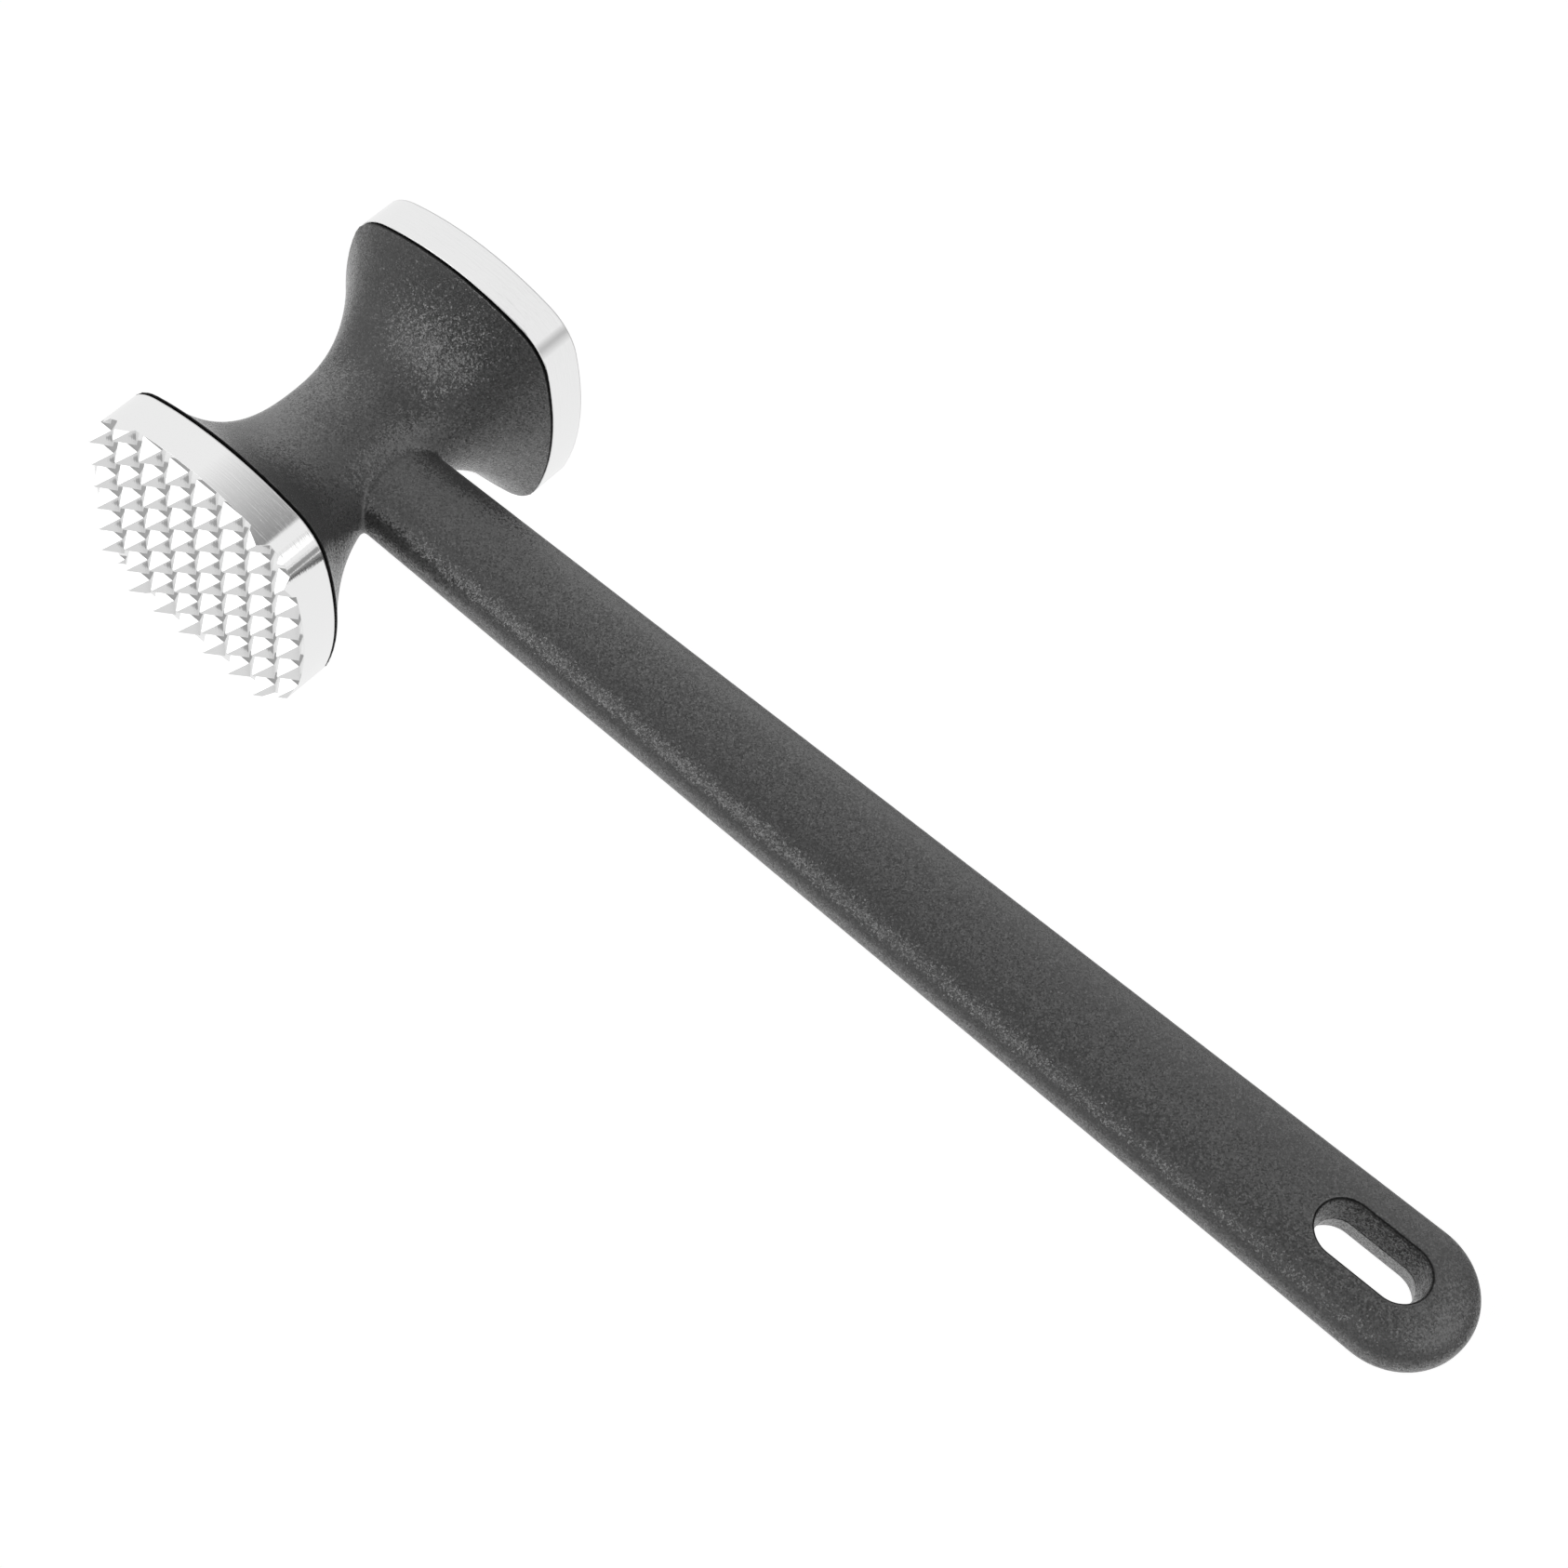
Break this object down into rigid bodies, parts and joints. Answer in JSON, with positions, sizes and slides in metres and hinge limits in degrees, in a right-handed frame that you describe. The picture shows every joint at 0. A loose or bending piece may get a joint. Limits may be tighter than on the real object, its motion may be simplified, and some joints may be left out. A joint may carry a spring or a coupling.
{
  "type": "meat mallet",
  "caption": "Two-faced meat mallet: spiked and smooth metal face plates on a waisted plastic head, with a long flat overmoulded handle and a hang slot.",
  "frame": {"origin": "centre of the smooth striking face", "axes": "+X along the handle towards its hang slot, +Y out of the smooth striking face along the head, +Z out of the flat of the handle"},
  "size_m": [0.2583, 0.0698, 0.0486],
  "materials": {
    "plate_metal": "polished",
    "plastic": "fine moulded texture",
    "seal": "matte",
    "steel": "as machined"
  },
  "bodies": {
    "root": {"spiked_face_plate": "plate_metal", "smooth_face_plate": "plate_metal", "spiked_plate_seal": "seal", "smooth_plate_seal": "seal", "moulded_body": "plastic", "head_core": "steel", "plate_studs": "steel", "handle_tang": "steel", "tang_pin": "steel"}
  },
  "joints": []
}
